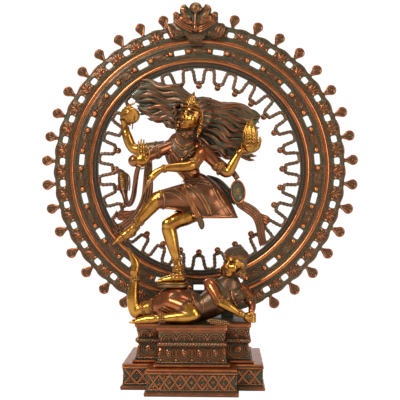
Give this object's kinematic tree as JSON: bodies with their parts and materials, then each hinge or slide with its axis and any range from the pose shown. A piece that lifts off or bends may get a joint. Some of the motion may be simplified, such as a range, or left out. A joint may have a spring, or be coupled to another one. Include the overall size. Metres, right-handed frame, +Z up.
{
  "type": "nataraja statue",
  "caption": "Cast brass dancing figure inside a pierced ring of flame loops, standing on a reclining dwarf and a stepped hollow pedestal.",
  "frame": {"origin": "centre of the bounding box's bottom face, on the surface that the pedestal stands on, below the ring's axis", "axes": "+X to the viewer's right, +Y away from the viewer, +Z up"},
  "size_m": [0.5144, 0.192, 0.611],
  "materials": {
    "patina_bronze": "dark brown and green patina, rubbed on the high points",
    "red_bronze": "red-brown lacquered patina, semi-gloss",
    "polished_brass": "polished gold-coloured brass",
    "steel_screw": "zinc-plated screw"
  },
  "bodies": {
    "root": {"aureole_garland": "patina_bronze", "aureole_inner_rail": "red_bronze", "aureole_middle_band": "patina_bronze", "aureole_monster_mask": "patina_bronze", "aureole_outer_band": "patina_bronze", "aureole_outer_rail": "red_bronze", "band_screw_left": "steel_screw", "band_screw_right": "steel_screw", "bracket_left": "patina_bronze", "bracket_right": "patina_bronze", "cobra": "patina_bronze", "dancer_front_left_arm": "polished_brass", "dancer_front_right_arm": "polished_brass", "dancer_hair_left": "patina_bronze", "dancer_hair_right": "patina_bronze", "dancer_head": "patina_bronze", "dancer_raised_leg": "polished_brass", "dancer_rear_left_arm": "polished_brass", "dancer_rear_right_arm": "polished_brass", "dancer_sash_tail": "patina_bronze", "dancer_skirt": "red_bronze", "dancer_standing_leg": "polished_brass", "dancer_torso": "red_bronze", "dwarf_body": "red_bronze", "dwarf_far_arm": "red_bronze", "dwarf_folded_leg": "polished_brass", "dwarf_head": "patina_bronze", "dwarf_near_arm": "polished_brass", "dwarf_raised_leg": "polished_brass", "dwarf_screw_left": "steel_screw", "dwarf_screw_right": "steel_screw", "dwarf_shield": "patina_bronze", "foot_cushion": "patina_bronze", "hand_drum": "polished_brass", "hand_flame": "polished_brass", "pedestal_lower_tier": "patina_bronze", "pedestal_rope_moulding": "patina_bronze", "pedestal_top_slab": "red_bronze", "pedestal_upper_tier": "patina_bronze", "slab_screw_left": "steel_screw", "slab_screw_right": "steel_screw", "streamer_left": "red_bronze", "streamer_right": "red_bronze"}
  },
  "joints": []
}
